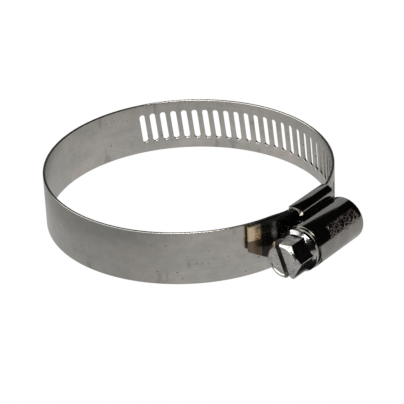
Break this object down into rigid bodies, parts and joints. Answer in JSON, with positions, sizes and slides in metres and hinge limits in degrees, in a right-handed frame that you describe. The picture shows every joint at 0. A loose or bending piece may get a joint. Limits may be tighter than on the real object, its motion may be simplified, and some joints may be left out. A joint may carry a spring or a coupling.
{
  "type": "hose clamp",
  "caption": "Worm-drive hose clamp: a perforated stainless band closed to a ring by a slotted hexagon worm screw in a domed housing.",
  "frame": {"origin": "on the axis of the clamped ring, at the middle of the band's width", "axes": "+Z along the ring's axis; the housing is at -Y; the screw lies along X with its head at -X"},
  "size_m": [0.0653, 0.0751, 0.0142],
  "materials": {
    "band_steel": "bright rolled stainless strip, lightly brushed along its length",
    "housing_steel": "polished stamped stainless sheet",
    "screw_steel": "bright cold-headed stainless steel, tumbled"
  },
  "bodies": {
    "clamp_body": {"housing": "housing_steel", "saddle": "housing_steel", "band_fixed_end": "band_steel"},
    "band_left": {"band_left": "band_steel"},
    "band_back": {"band_back": "band_steel"},
    "band_right": {"band_right": "band_steel"},
    "band_tail": {"band_tail": "band_steel"},
    "worm_screw": {"worm_screw": "screw_steel"}
  },
  "joints": [
    {"name": "worm_turn", "type": "hinge", "parent": "clamp_body", "child": "worm_screw", "pos_m": [0, -0.0377, 0], "axis": [1, 0, 0], "range_deg": [-360, 1800]},
    {"name": "bend_front_left", "type": "hinge", "parent": "clamp_body", "child": "band_left", "pos_m": [-0.01505, -0.0283, 0], "axis": [0, 0, -1], "range_deg": [-1.23, 5.94]},
    {"name": "bend_back_left", "type": "hinge", "parent": "band_left", "child": "band_back", "pos_m": [-0.02287, 0.02245, 0], "axis": [0, 0, -1], "range_deg": [-1.23, 5.94]},
    {"name": "bend_back_right", "type": "hinge", "parent": "band_back", "child": "band_right", "pos_m": [0.01586, 0.02795, 0], "axis": [0, 0, -1], "range_deg": [-1.23, 5.94]},
    {"name": "bend_front_right", "type": "hinge", "parent": "band_right", "child": "band_tail", "pos_m": [0.02206, -0.0249, 0], "axis": [0, 0, -1], "range_deg": [-1.23, 5.94]}
  ],
  "couplings": [
    {"joint": "bend_front_left", "follows": "worm_turn", "ratio": 0.0032721},
    {"joint": "bend_back_left", "follows": "worm_turn", "ratio": 0.0032721},
    {"joint": "bend_back_right", "follows": "worm_turn", "ratio": 0.0032721},
    {"joint": "bend_front_right", "follows": "worm_turn", "ratio": 0.0032721}
  ]
}
